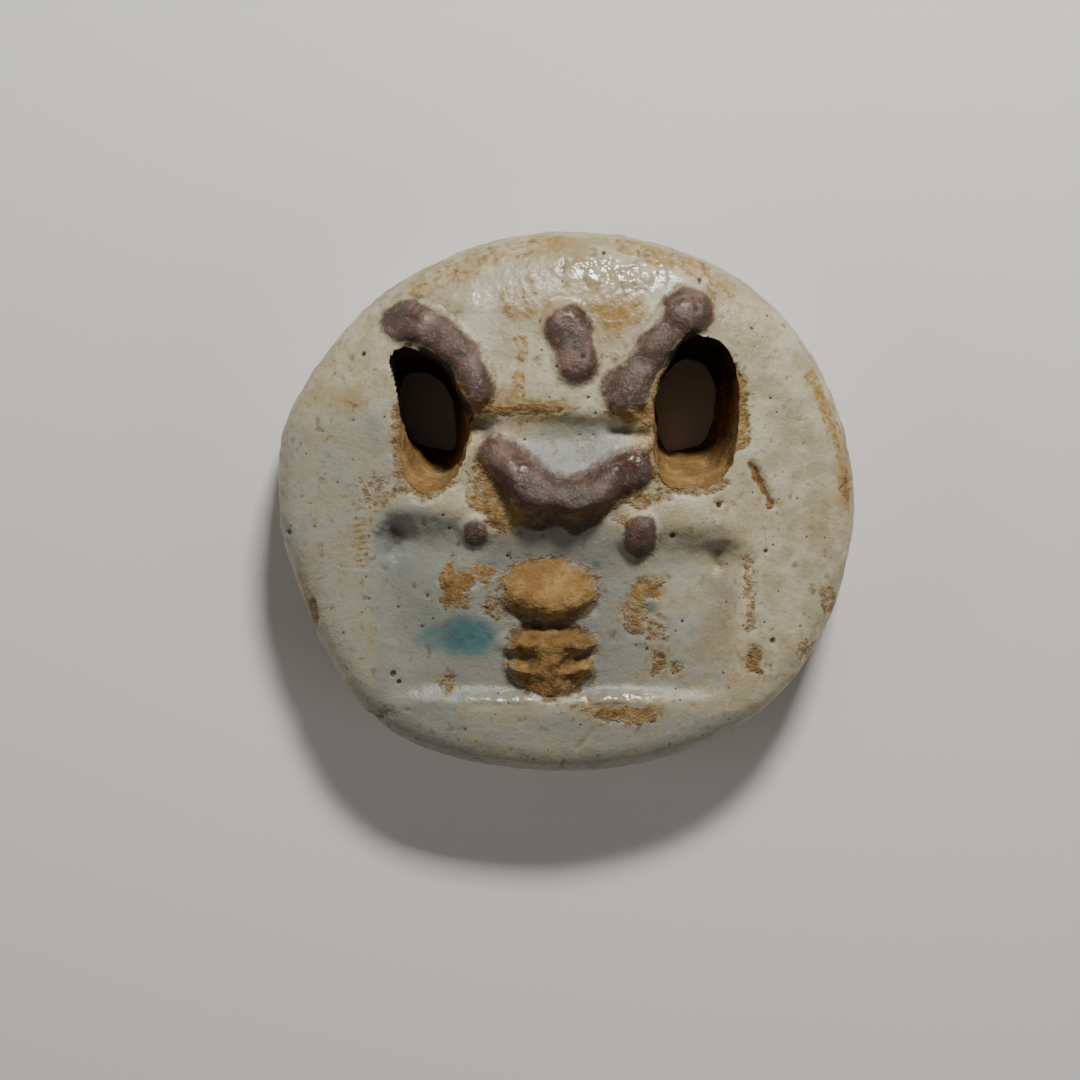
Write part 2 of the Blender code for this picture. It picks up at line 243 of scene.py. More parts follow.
# %% Heights, depths and half widths of the forms, in mm
NOSE_RISE = 1.7
FOLD_RISE, FOLD_HALF_WIDTH = 0.85, 1.75
FOREHEAD_RISE = 0.55
BROW_RISE, MARK_RISE, RIDGE_HALF_WIDTH = 0.9, 0.85, 1.85
PELLET_RISE = 0.35
BRIDGE_DEPTH = 0.5
FIELD_DEPTH, CORNER_DEPTH = 0.9, 0.45
LIP_RISE = 1.75
CHIN_RISE, LOBE_RISE = 1.15, 0.45
GROOVE_DEPTH, GROOVE_HALF_WIDTH = 0.42, 0.55
CHEEK_RISE = 0.5

# %% [markdown]
# ## The height of the carving
#
# The functions below add up to one relief. The nose is a wedge that leans out from its
# bridge and drops steeply over two nostrils, with a roll laid over it. The forehead ends
# in a ledge. The lip is a pillow that is fuller below, and two grooves part the chin.

# %% Nose and forehead


def nostrils(x):
    """How much lower the nose reaches there: a bell curve for each nostril."""
    return sum(
        low * np.exp(-(((x - middle) / width) ** 2)) for middle, low, width in NOSTRILS
    )


def nose(x, y):
    """A slope down from the bridge times a steep foot and soft sides, plus the round fold."""
    lean = soft((NOSE_TOP - y) / 5.8)
    foot = soft((y - NOSE_FOOT + nostrils(x)) / 2.2)
    half_width = np.interp(y, (-1.7, NOSE_TOP), (2.8, 5.2))
    sides = soft((half_width - np.abs(x - NOSE_MIDDLE)) / 1.6 + 0.5)
    fold = round_top(stroke(x, y, NOSE_FOLD) / FOLD_HALF_WIDTH)
    return NOSE_RISE * lean * foot * sides + FOLD_RISE * soft(fold)


def forehead(x, y):
    """The bulge above the ledge, the two brows with their pellets, and the mark. A ridge's
    round section goes through a smooth step, which flares its foot."""
    ledge = np.interp(x, *zip(*LEDGE))
    above = soft((y - ledge) / 1.5 + 0.5)
    fade = 1.0 - soft((y - ledge) / 11.3)
    between = soft((x + 8.5) / 2.0) * soft((7.5 - x) / 2.0)
    height = FOREHEAD_RISE * above * fade * between
    for brow in (LEFT_BROW, RIGHT_BROW):
        height = height + BROW_RISE * soft(round_top(stroke(x, y, brow) / RIDGE_HALF_WIDTH))
    for pellet in BROW_PELLETS:
        height = height + PELLET_RISE * soft(1.15 - oval(x, y, *pellet))
    height = height + MARK_RISE * soft(round_top(stroke(x, y, MARK) / RIDGE_HALF_WIDTH))
    bridge = soft(1.0 - oval(x, y, (-0.2, 5.2), 6.6, 2.4))
    for middle, half_width, half_height, depth in LEDGE_HOLLOWS:
        inside = soft(1.2 - oval(x, y, middle, half_width, half_height))
        height = height - depth * inside * (1.0 - above)
    return height - BRIDGE_DEPTH * bridge


# %% Field, mouth and the whole relief


def sunk_field(x, y):
    """The field round the mouth: the product of four soft walls, less deep in its two lower
    corners, with two hollows added at its upper ones."""
    left, right = FIELD_SIDES
    middle = 1.0 - soft(np.abs(x) / right)
    top = np.interp(x, FIELD_SIDES, FIELD_TOPS)
    depth = FIELD_DEPTH * soft((x - left) / 1.8) * soft((right - x) / 2.2)
    depth = depth * soft((y - FIELD_BOTTOM) / 1.4) * soft((top - y) / (3.0 + 2.0 * middle))
    shallow = 0.6 * soft((np.abs(x + 1.0) - 6.5) / 6.0) * soft((-8.0 - y) / 5.0)
    depth = depth * (1.0 - shallow)
    for corner in FIELD_CORNERS:
        depth = depth + CORNER_DEPTH * soft(1.2 - oval(x, y, *corner))
    return depth


def mouth(x, y):
    """The pillow of the lip, fuller below, the chin with its lobes and grooves, the knobs
    and the cheeks."""
    pillow = round_top(oval(x, y, *LIP, point=1.95)) ** 0.6
    down = soft((LIP[0][1] + LIP[2] - y) / (1.5 * LIP[2]))
    height = LIP_RISE * pillow * (0.4 + 0.6 * down)
    chin = np.sqrt(round_top(np.minimum(oval(x, y, *UNDERLIP), oval(x, y, *TONGUE))))
    height = height + CHIN_RISE * chin
    for lobe in CHIN_LOBES:
        height = height + LOBE_RISE * soft(1.2 - oval(x, y, *lobe))
    for groove in CHIN_GROOVES:
        cut = round_top(stroke(x, y, groove) / GROOVE_HALF_WIDTH)
        height = height - GROOVE_DEPTH * soft(2.2 * chin) * cut
    for middle, half_width, half_height, rise in (LEFT_KNOB, RIGHT_KNOB):
        knob = round_top(oval(x, y, middle, half_width, half_height) / 1.2)
        height = height + rise * soft(knob)
    for cheek in CHEEKS:
        height = height + CHEEK_RISE * soft(1.0 - oval(x, y, *cheek))
    return height


def carving(x, y):
    """All forms together, after each place is nudged by the unevenness of a hand's work."""
    places = flat_places(x, y)
    nudge_x = 0.22 * crumb(places, 1.9, 11) + 0.07 * unevenness(places, 0.55, 17)
    nudge_y = 0.22 * crumb(places, 1.9, 21) + 0.07 * unevenness(places, 0.55, 27)
    x = x + nudge_x.reshape(np.shape(x))
    y = y + nudge_y.reshape(np.shape(y))
    return nose(x, y) + forehead(x, y) + mouth(x, y) - sunk_field(x, y)


relief = carving(*np.meshgrid(np.linspace(-14.0, 14.0, 57), np.linspace(-14.0, 14.0, 57)))
print("carving: from", round(float(relief.min()), 2), "to", round(float(relief.max()), 2), "mm")

# %% [markdown]
# ## Where the glaze is gone
#
# Worn places are lists of ovals and strokes. Each gives a field that is 1 well inside
# and falls to 0 outside. The same fields later cut the surface back a little and turn it
# to bare, sandy body in the material, so shape and colour always agree. Ochre stains are
# kept apart: there the iron of the body has come up into glaze that is still whole.

# %% Worn places: middle, half width, half height and strength, or a stroke's places
WORN_OVALS = [
    ((-1.3, -5.8), 3.95, 2.65, 1.0), ((-1.1, -9.6), 3.6, 1.7, 1.0),
    ((-1.1, -11.2), 3.4, 2.5, 1.0), ((-8.3, -5.3), 0.7, 1.9, 0.95),
    ((-7.4, -5.0), 0.9, 0.9, 0.95), ((-7.5, -6.5), 0.6, 0.9, 0.65),
    ((-5.9, -4.4), 1.1, 0.7, 0.8), ((-5.0, -6.9), 1.3, 1.0, 0.68),
    ((5.8, -5.6), 1.4, 0.9, 0.85), ((5.0, -7.5), 1.1, 1.7, 0.75), ((6.4, -8.7), 1.1, 0.8, 0.6),
    ((6.6, -11.0), 0.6, 1.1, 0.75), ((8.1, -11.3), 0.5, 0.5, 0.65),
    ((13.5, -10.7), 0.7, 1.0, 0.85), ((14.0, -11.6), 0.4, 0.4, 0.85),
    ((-8.6, -12.7), 0.6, 0.9, 0.7), ((4.3, -14.7), 2.7, 0.7, 0.8),
    ((1.6, -14.4), 1.2, 0.4, 0.5), ((-5.8, 1.3), 1.5, 1.5, 0.8), ((-4.4, -0.3), 1.3, 1.2, 0.85),
    ((-6.4, 2.7), 0.8, 0.9, 0.6), ((5.0, 0.8), 1.6, 0.6, 0.75), ((6.8, 1.3), 0.8, 0.6, 0.55),
    ((4.3, -0.6), 1.2, 0.5, 0.6), ((10.8, 0.7), 0.5, 0.4, 0.75), ((-13.4, 1.5), 1.6, 1.3, 0.5),
    ((5.0, 7.0), 1.4, 0.7, 0.85), ((18.9, -6.6), 0.7, 1.3, 0.7), ((17.4, -10.2), 0.7, 0.9, 0.5),
    ((-18.5, -7.6), 0.6, 1.3, 0.75), ((-13.6, -14.9), 1.3, 0.5, 0.5),
    ((20.0, 1.6), 0.5, 0.9, 0.7),
]
WORN_STROKES = [
    ([(-7.6, 7.6), (-5.0, 7.35), (-2.4, 7.3), (-0.6, 7.4)], 0.42, 0.85),
    ([(2.9, 7.2), (4.2, 6.8), (6.0, 6.6)], 0.45, 0.8),
    ([(13.1, 3.5), (13.9, 2.0), (14.6, 0.5)], 0.26, 0.95),
    ([(12.9, -3.4), (13.3, -8.4)], 0.42, 0.66),
    ([(-9.9, 11.1), (-8.3, 10.0), (-7.5, 8.6), (-6.9, 7.5)], 0.4, 0.85),
    ([(7.8, 11.6), (6.7, 9.6), (6.1, 8.0), (6.0, 6.4)], 0.3, 0.8),
    ([(11.9, 10.2), (12.4, 8.4), (12.5, 6.4), (12.3, 4.8)], 0.5, 0.85),
    (
        [(-12.1, 7.6), (-12.0, 5.6), (-12.1, 3.4), (-11.6, 1.7), (-9.6, 1.4), (-8.0, 2.1)],
        0.35, 0.7,
    ),
    ([(6.1, 4.6), (6.5, 2.3), (9.4, 1.5), (11.4, 2.2)], 0.4, 0.66),
    ([(-3.6, -0.2), (-1.6, -0.5), (0.2, -0.5), (2.5, 0.0)], 0.6, 0.62),
    ([(-6.0, 3.4), (-5.3, 2.0), (-4.3, 0.8), (-3.4, -0.2)], 0.55, 0.8),
    ([(2.6, 0.2), (3.8, 0.9), (5.2, 1.2)], 0.45, 0.75),
]
print("worn:", len(WORN_OVALS), "ovals and", len(WORN_STROKES), "strokes")

# %% Ochre stains, in the same form, and the row of fine ticks on the left cheek
OCHRE_OVALS = [
    ((-3.4, 14.8), 1.5, 1.6, 0.75), ((-2.3, 10.7), 0.5, 0.5, 0.6),
    ((3.7, 14.3), 2.1, 1.7, 0.95), ((2.9, 12.3), 0.8, 0.9, 0.5), ((0.4, 15.9), 1.5, 0.6, 0.5),
    ((-8.2, 17.0), 2.6, 1.2, 0.7), ((10.9, 15.8), 1.2, 1.4, 0.7), ((12.0, 14.4), 0.9, 1.0, 0.5),
    ((5.6, 4.9), 1.1, 1.7, 0.85), ((6.3, 3.2), 0.9, 1.4, 0.6), ((4.0, 7.3), 1.6, 0.7, 0.6),
    ((-1.5, 3.9), 1.5, 1.1, 0.4), ((1.2, 7.4), 1.2, 0.5, 0.35), ((13.9, 13.0), 0.9, 0.8, 0.5),
    ((-5.0, -2.9), 1.5, 0.6, 0.3), ((-3.9, -7.9), 1.1, 0.7, 0.4), ((3.2, -8.2), 1.0, 0.6, 0.4),
    ((5.6, -6.9), 1.5, 2.6, 0.55), ((-7.2, -5.2), 2.2, 2.4, 0.45),
    ((3.3, 11.0), 0.8, 1.5, 0.45), ((-12.9, 3.6), 1.0, 1.6, 0.35),
    ((-17.6, -1.4), 1.0, 1.4, 0.3), ((-14.2, 1.2), 2.0, 1.4, 0.5),
    ((-15.3, 7.6), 1.7, 0.45, 0.5), ((-16.0, 11.0), 1.6, 1.8, 0.35),
    ((-13.9, 14.3), 1.4, 1.0, 0.45), ((12.9, 6.6), 0.7, 1.7, 0.4),
    ((14.8, 3.2), 2.4, 1.0, 0.25), ((18.0, 1.6), 0.9, 1.1, 0.35), ((17.8, -4.6), 1.6, 1.2, 0.3),
    ((-15.8, -11.6), 1.8, 0.9, 0.3), ((-10.4, 0.9), 1.2, 0.5, 0.5),
    ((2.9, -13.9), 4.6, 0.5, 0.4),
]
OCHRE_STROKES = [
    ([(-3.3, 12.2), (-3.2, 10.4), (-3.6, 8.6), (-3.3, 7.4)], 0.55, 0.85),
    ([(-10.5, 15.8), (-7.5, 17.6), (-4.0, 18.6), (-1.0, 19.0)], 0.9, 0.7),
    ([(4.0, 18.7), (7.2, 18.0), (9.6, 17.0)], 0.7, 0.85),
    ([(17.4, 9.6), (18.9, 6.6), (19.8, 3.2), (20.0, 0.6)], 0.55, 0.85),
    ([(-7.4, 7.4), (-4.0, 7.3), (-0.2, 7.5)], 0.8, 0.7),
    ([(19.0, -3.6), (18.7, -7.6), (17.2, -10.6)], 0.6, 0.5),
    ([(-19.2, -4.8), (-18.2, -8.8)], 0.5, 0.6),
    ([(-16.3, -12.2), (-12.6, -15.7)], 0.4, 0.5),
    ([(-14.9, 3.6), (-14.7, 0.4)], 0.5, 0.4),
]
TICKS = [(-14.7, -0.6 - 0.42 * step) for step in range(9)]
OCHRE_STROKES += [([(x - 0.35, y - 0.05), (x + 0.35, y)], 0.13, 0.9) for x, y in TICKS]
print("stained:", len(OCHRE_OVALS), "ovals and", len(OCHRE_STROKES), "strokes")

# %% From lists to a field


def spread(places, ovals, strokes, seed):
    """How strongly a list of ovals and strokes covers each place, 0 to 1: the strongest of
    them, with its edge broken up by crumbs of 0.9 mm."""
    x = places[:, 0] + 0.4 * crumb(places, 0.9, seed)
    y = places[:, 1] + 0.4 * crumb(places, 0.9, seed + 10)
    cover = strongest(x, y, ovals, 1.2, 0.5)
    for points, half_width, strength in strokes:
        inside = soft((1.4 - stroke(x, y, points) / half_width) / 0.8)
        cover = np.maximum(cover, strength * inside)
    return cover


# %% [markdown]
# ## The body
#
# The face is a square sheet of points drawn out to the rim: a smooth map turns the
# square into a disc, so that no point of the sheet is a pole. The rim then follows a
# profile down the side and under the edge, and a coarser sheet closes the back.

# %% The outline


def rim_radius(direction):
    """An ellipse whose radius is raised or lowered by a few bell curves round the rim."""
    slant = np.hypot(HALF_HEIGHT * np.cos(direction), HALF_WIDTH * np.sin(direction))
    radius = HALF_WIDTH * HALF_HEIGHT / slant
    share = 1.0
    for degrees, added, width in SWELLINGS_OF_RIM:
        turn = (np.degrees(direction) - degrees + 180.0) % 360.0 - 180.0
        share = share + added * np.exp(-((turn / width) ** 2))
    places = flat_places(radius * np.cos(direction), radius * np.sin(direction))
    ragged = 0.09 + 0.05 * crumb(places, 1.6, 51) + 0.04 * crumb(places, 0.6, 53)
    return radius * share - ragged.reshape(np.shape(direction))


def disc(s, t):
    """Direction and share of the radius for a place on the square from -1 to 1."""
    u = s * np.sqrt(1.0 - t * t / 2.0)
    v = t * np.sqrt(1.0 - s * s / 2.0)
    return np.arctan2(v, u), np.hypot(u, v)


# %% The face


def face(s, t):
    """The crowned disc with its round shoulder, a quarter of an ellipse that is wider at the
    brow, plus the carving, which fades at the rim."""
    direction, share = disc(s, t)
    rim = rim_radius(direction) - SIDE_BULGE
    at_brow = np.exp(-(((direction - math.pi / 2) / BROW_SPREAD) ** 2))
    wide = SHOULDER + (BROW_SHOULDER - SHOULDER) * at_brow
    flat = rim - wide
    arc = np.hypot(wide, SHOULDER) / math.sqrt(2.0)
    travelled = share * (flat + arc * math.pi / 2)
    turn = np.clip((travelled - flat) / arc, 0.0, math.pi / 2)
    radius = np.minimum(travelled, flat) + wide * np.sin(turn)
    x = radius * np.cos(direction)
    y = radius * np.sin(direction)
    crown = BODY - CROWN_DROP * (radius / rim) ** 2 - SHOULDER * (1.0 - np.cos(turn))
    fade = soft((rim - radius) / (2 * SHOULDER))
    return np.stack([x, y, crown + carving(x, y) * fade], axis=-1)


def side_ring(direction, inset, height):
    """One ring of the side: the rim drawn in by inset, at that height."""
    radius = rim_radius(direction) - inset
    level = np.full(len(direction), height)
    return np.stack([radius * np.cos(direction), radius * np.sin(direction), level], axis=-1)


def side_profile(rings=9, edge_rings=3):
    """Inset and height of each ring: a slight bulge down the side, then a quarter circle."""
    top = BODY - CROWN_DROP - SHOULDER
    down = np.arange(1, rings + 1) / rings
    turn = np.arange(1, edge_rings + 1) / edge_rings * math.pi / 2
    bulge = SIDE_BULGE * (1 - np.sin(math.pi * down))
    insets = np.concatenate([bulge, SIDE_BULGE + BACK_EDGE * (1 - np.cos(turn))])
    heights = np.concatenate([top + (BACK_EDGE - top) * down, BACK_EDGE * (1 - np.sin(turn))])
    return zip(insets, heights)


def back(s, t):
    """The back: nearly flat, hollowed by up to 0.12 mm where the paste shrank."""
    direction, share = disc(s, t)
    radius = share * (rim_radius(direction) - SIDE_BULGE - BACK_EDGE)
    x = radius * np.cos(direction)
    y = radius * np.sin(direction)
    shrunk = 0.06 + 0.06 * crumb(flat_places(x, y), 2.4, 61).reshape(np.shape(x))
    return np.stack([x, y, shrunk * soft((1.0 - share) / 0.1)], axis=-1)


# %% [markdown]
# ## From sheets to a closed mesh
#
# The sheets are joined by numbers: the outer points of the face start the rings of the
# side, and every second point of the last ring meets the back's coarser rim.

# %% Join the sheets


def square(steps):
    """The places (s, t) of a sheet with that many steps each way."""
    line = np.linspace(-1.0, 1.0, steps + 1)
    return np.meshgrid(line, line)


def sheet_faces(steps):
    """The four corners of each cell, anticlockwise."""
    number = np.arange((steps + 1) ** 2).reshape(steps + 1, steps + 1)
    corners = [number[:-1, :-1], number[:-1, 1:], number[1:, 1:], number[1:, :-1]]
    return np.stack([corner.ravel() for corner in corners], axis=1)


def sheet_rim(steps):
    """The numbers of the outer points, anticlockwise from the lower left corner."""
    number = np.arange((steps + 1) ** 2).reshape(steps + 1, steps + 1)
    return np.concatenate([number[0, :-1], number[:-1, -1], number[-1, :0:-1], number[:0:-1, 0]])


# %% Stack face, side and back
FACE_STEPS = 248  # even, so that the back's sheet has half as many
places = [face(*square(FACE_STEPS)).reshape(-1, 3)]
faces = sheet_faces(FACE_STEPS).tolist()
ring = sheet_rim(FACE_STEPS)
direction = disc(*square(FACE_STEPS))[0].ravel()[ring]
count = len(places[0])
for inset, height in side_profile():
    places.append(side_ring(direction, inset, height))
    below = count + np.arange(len(ring))
    faces += np.stack([ring, below, np.roll(below, -1), np.roll(ring, -1)], axis=1).tolist()
    ring = below
    count += len(ring)
places.append(back(*square(FACE_STEPS // 2)).reshape(-1, 3))
faces += (sheet_faces(FACE_STEPS // 2)[:, ::-1] + count).tolist()
coarse = sheet_rim(FACE_STEPS // 2) + count
first, middle, last = ring[0::2], ring[1::2], np.roll(ring, -2)[0::2]
after = np.roll(coarse, -1)
for triangle in ((first, coarse, middle), (coarse, after, middle), (middle, after, last)):
    faces += np.stack(triangle, axis=1).tolist()
places = np.concatenate(places)
print("body:", len(places), "points,", len(faces), "faces")

# %% Put it in a mesh


def make_mesh(name, places, faces):
    """A mesh from places in mm and lists of point numbers."""
    mesh = bpy.data.meshes.new(name)
    mesh.from_pydata((places * MM).tolist(), [], faces)
    mesh.update()
    piece = bpy.data.objects.new(name, mesh)
    bpy.context.scene.collection.objects.link(piece)
    return piece


amulet = make_mesh("faience_amulet", places, faces)

# %% [markdown]
# ## The pierced eyes
#
# Each eye was cut through the wet paste with a blade, wider at the face than at the
# back, so the lower wall slopes towards the viewer. An opening is a tube between two
# outlines, one at the face and one at the back. Each outline is a closed smooth curve
# through a score of places. The tube is then cut out of the body.

# %% Outlines of the eyes, in mm, anticlockwise
LEFT_FACE_OUTLINE = [
    (-6.9, 5.0), (-6.7, 6.3), (-7.1, 7.5), (-7.7, 8.8), (-8.2, 10.0), (-9.1, 10.9),
    (-10.3, 11.5), (-11.5, 11.9), (-12.4, 11.4), (-12.3, 10.1), (-12.0, 8.9), (-11.9, 7.6),
    (-11.75, 6.3), (-11.9, 5.0), (-11.8, 3.7), (-11.6, 2.4), (-10.7, 1.65), (-9.4, 1.6),
    (-8.2, 2.2), (-7.3, 3.5),
]
LEFT_BACK_OUTLINE = [
    (-8.3, 5.6), (-8.4, 6.9), (-8.8, 8.0), (-9.5, 8.9), (-10.6, 9.5), (-11.8, 9.4),
    (-12.5, 8.4), (-12.6, 7.2), (-12.5, 6.0), (-12.1, 4.9), (-11.3, 4.15), (-10.3, 3.8),
    (-9.3, 3.6), (-8.6, 3.5), (-8.3, 3.9), (-8.2, 4.7),
]
RIGHT_FACE_OUTLINE = [
    (12.3, 7.4), (12.3, 8.8), (12.1, 10.0), (11.7, 11.1), (11.1, 12.1), (10.1, 12.7),
    (8.9, 12.7), (7.9, 12.0), (7.4, 10.9), (6.8, 9.8), (6.3, 8.7), (6.1, 7.4), (6.2, 6.0),
    (6.2, 4.7), (6.4, 3.3), (6.8, 2.2), (7.8, 1.75), (9.2, 1.7), (10.5, 1.9), (11.5, 2.9),
    (12.0, 4.4), (12.2, 5.9),
]
RIGHT_BACK_OUTLINE = [
    (11.3, 6.8), (11.4, 8.0), (11.1, 9.2), (10.4, 10.1), (9.4, 10.5), (8.4, 10.2), (7.6, 9.4),
    (7.0, 8.4), (6.8, 7.2), (6.9, 6.0), (7.0, 4.8), (7.5, 3.8), (8.2, 3.5), (9.4, 3.7),
    (10.5, 4.2), (11.1, 5.4),
]

# %% Tubes through the body


def closed_curve(points, steps):
    """A smooth closed curve through the points: the spectrum of the points' places is kept
    and read at more steps."""
    knots = np.array(points)
    waves = np.fft.fft(knots[:, 0] + 1j * knots[:, 1])
    half = len(knots) // 2
    wide = np.zeros(steps, dtype=complex)
    wide[:half] = waves[:half]
    wide[-half + 1:] = waves[-half + 1:]
    wide[half] = waves[half] / 2
    wide[-half] = waves[half] / 2
    curve = np.fft.ifft(wide) * steps / len(knots)
    return np.stack([curve.real, curve.imag], axis=1)


BELOW_BACK, ABOVE_FACE = 1.2, 3.2  # mm that a tube runs on past the body


def eye_tube(name, face_outline, back_outline, steps=112, levels=46):
    """Straight lines from the back outline to the face outline, carried on past both, with
    the two ends closed by a fan."""
    front = closed_curve(face_outline, steps)
    rear = closed_curve(back_outline, steps)
    heights = np.linspace(-BELOW_BACK, BODY + ABOVE_FACE, levels)
    share = (heights / BODY)[:, None, None]
    outline = rear + (front - rear) * np.clip(share, 0.0, 1.25)
    lifted = np.broadcast_to(heights[:, None, None], (levels, steps, 1))
    rings = np.concatenate([outline, lifted], axis=2)
    rough = crumb(rings.reshape(-1, 3), 0.9, 71).reshape(levels, steps, 1)
    middle = outline.mean(axis=1, keepdims=True)
    rings[:, :, :2] -= (outline - middle) * 0.055 * (rough + 0.3)
    number = np.arange(levels * steps).reshape(levels, steps)
    turned = np.roll(number, -1, axis=1)
    walls = np.stack([number[:-1], turned[:-1], turned[1:], number[1:]], axis=-1)
    walls = walls.reshape(-1, 4).tolist()
    ends = [rings[0].mean(axis=0), rings[-1].mean(axis=0)]
    low, high = levels * steps, levels * steps + 1
    fans = np.stack([number[0], np.full(steps, low), turned[0]], axis=1).tolist()
    fans += np.stack([number[-1], turned[-1], np.full(steps, high)], axis=1).tolist()
    return make_mesh(name, np.concatenate([rings.reshape(-1, 3), ends]), walls + fans)


# %% Cut them out of the body
tubes = [
    eye_tube("left_eye_tube", LEFT_FACE_OUTLINE, LEFT_BACK_OUTLINE),
    eye_tube("right_eye_tube", RIGHT_FACE_OUTLINE, RIGHT_BACK_OUTLINE),
]
for tube in tubes:
    cut = amulet.modifiers.new(tube.name, "BOOLEAN")
    cut.operation = "DIFFERENCE"
    cut.solver = "EXACT"
    cut.object = tube
bpy.context.view_layer.update()
evaluated = amulet.evaluated_get(bpy.context.evaluated_depsgraph_get())
pierced = bpy.data.meshes.new_from_object(evaluated)
amulet.modifiers.clear()
amulet.data = pierced
for tube in tubes:
    bpy.data.objects.remove(tube)
triangles = sum(len(polygon.vertices) - 2 for polygon in pierced.polygons)
print("pierced:", len(pierced.vertices), "points,", triangles, "triangles")

# %% [markdown]
# ## Grain and wear in the surface
#
# Bare frit is a crust of sand grains, while glaze is a smooth skin that follows it
# softly. Every point is moved along its normal by an amount that depends on how worn it
# is. Flaked places also lie a little lower than the glaze round them. The walls of the
# eyes are bare and crumbly.

# %% Read the points


def read_points(mesh):
    """Places and normals of a mesh's points, places in mm."""
    places = np.empty(len(mesh.vertices) * 3)
    normals = np.empty(len(mesh.vertices) * 3)
    mesh.vertices.foreach_get("co", places)
    mesh.vertices.foreach_get("normal", normals)
    return places.reshape(-1, 3) / MM, normals.reshape(-1, 3)


def eye_wall(places):
    """1 in the eyes and on their rims, and 0 from 0.5 mm beyond them: an opening's reach in
    each direction is blended between its two outlines by the height."""
    wall = np.zeros(len(places))
    left = (LEFT_FACE_OUTLINE, LEFT_BACK_OUTLINE)
    right = (RIGHT_FACE_OUTLINE, RIGHT_BACK_OUTLINE)
    for face_outline, back_outline in (left, right):
        front, rear = closed_curve(face_outline, 60), closed_curve(back_outline, 60)
        share = np.clip(places[:, 2] / BODY, 0.0, 1.0)
        middle = rear.mean(axis=0) + (front.mean(axis=0) - rear.mean(axis=0)) * share[:, None]
        offset = places[:, :2] - middle
        turn = np.arctan2(offset[:, 1], offset[:, 0])
        reach = []
        for outline in (rear, front):
            spoke = outline - outline.mean(axis=0)
            angle = np.arctan2(spoke[:, 1], spoke[:, 0])
            order = np.argsort(angle)
            length = np.hypot(*spoke[order].T)
            reach.append(np.interp(turn, angle[order], length, period=2 * math.pi))
        edge = reach[0] + (reach[1] - reach[0]) * share
        wall = np.maximum(wall, soft((edge + 0.5 - np.hypot(*offset.T)) / 0.5))
    return wall


# %% How worn each point is
places, normals = read_points(amulet.data)
on_face = soft((normals[:, 2] - 0.05) / 0.3)  # 1 where the surface looks up
looks_out = soft((normals[:, 2] - 0.75) / 0.2)  # the level face beside an eye isn't its wall
walls = eye_wall(places) * (1.0 - looks_out)
open_face = on_face * (1.0 - walls)
bare = np.maximum(spread(places, WORN_OVALS, WORN_STROKES, 31) * on_face, walls)
halo_ovals = [
    (middle, wide + 0.5, high + 0.5, 0.6 * strength) for middle, wide, high, strength in WORN_OVALS
]
halo_strokes = [(points, wide + 0.4, 0.5 * strength) for points, wide, strength in WORN_STROKES]
halos = spread(places, halo_ovals, halo_strokes, 35)
stained = np.maximum(spread(places, OCHRE_OVALS, OCHRE_STROKES, 131), halos)
ochre = stained * soft(places[:, 2] / 4.0 - 0.5)
print("points on the eyes' walls:", int((walls > 0.5).sum()))

# %% Pores and cracks
PORES = [
    ((7.5, -1.7), 0.26), ((1.1, 11.1), 0.24), ((-0.8, 10.4), 0.16), ((9.1, 14.4), 0.22),
    ((9.4, 16.4), 0.2), ((1.5, 8.2), 0.16), ((-3.0, 5.2), 0.14), ((-4.2, -3.2), 0.18),
    ((-12.5, -11.8), 0.28), ((-12.1, -12.4), 0.22), ((-10.0, -6.1), 0.16),
    ((-12.1, -7.0), 0.14), ((-5.7, -7.0), 0.16), ((-8.8, -0.2), 0.15), ((-8.4, -1.2), 0.15),
    ((5.8, -10.0), 0.17), ((8.3, -7.9), 0.17), ((14.2, -2.8), 0.2), ((1.9, 5.5), 0.14),
    ((0.9, 5.5), 0.13), ((-14.4, 11.2), 0.22), ((2.6, 18.3), 0.18), ((-10.4, -8.4), 0.14),
    ((10.8, 0.6), 0.26), ((14.8, -9.3), 0.26), ((13.1, 13.0), 0.16), ((14.4, 8.1), 0.14),
    ((-20.0, -1.6), 0.24), ((-7.1, 8.4), 0.14), ((2.0, 7.1), 0.14),
]
# The furrow on the right cheek, and finer ones
CRACK = [(13.1, 3.5), (13.6, 2.7), (14.0, 1.9), (14.2, 1.2), (14.7, 0.5)]
FINE_CRACKS = [
    [(1.9, -15.9), (1.5, -16.6), (0.8, -17.3)],
    [(-5.7, 3.0), (-4.6, 2.7), (-3.8, 2.2), (-3.0, 1.8)],
    [(-10.9, 1.0), (-10.2, 0.7), (-9.4, 1.0)],
    [(4.6, -6.1), (5.2, -6.8), (6.4, -7.6), (7.2, -7.9)],
    [(4.2, -6.8), (5.0, -7.6), (6.3, -8.4), (7.1, -8.6)],
    [(20.9, 2.1), (20.2, 1.9), (19.5, 1.5)],
]

on_plan = places[:, :2].T


def bell_line(line, half_width):
    """A bell curve across a stroke, 1 on its line and e^-1 at its half width."""
    return np.exp(-((stroke(*on_plan, line) / half_width) ** 2))


pore = np.zeros(len(places))
for middle, radius in PORES:
    distance = np.hypot(*(places[:, :2] - middle).T)
    pore = np.maximum(pore, np.exp(-((distance / radius) ** 2)))
crack = bell_line(CRACK, 0.24)
for line in FINE_CRACKS:
    crack = np.maximum(crack, 0.55 * bell_line(line, 0.14))
for x, y in TICKS:
    crack = np.maximum(crack, 0.35 * bell_line([(x - 0.4, y - 0.05), (x + 0.4, y)], 0.12))
pore *= open_face
crack *= open_face
print("points in pores and cracks:", int(((pore > 0.5) | (crack > 0.5)).sum()))

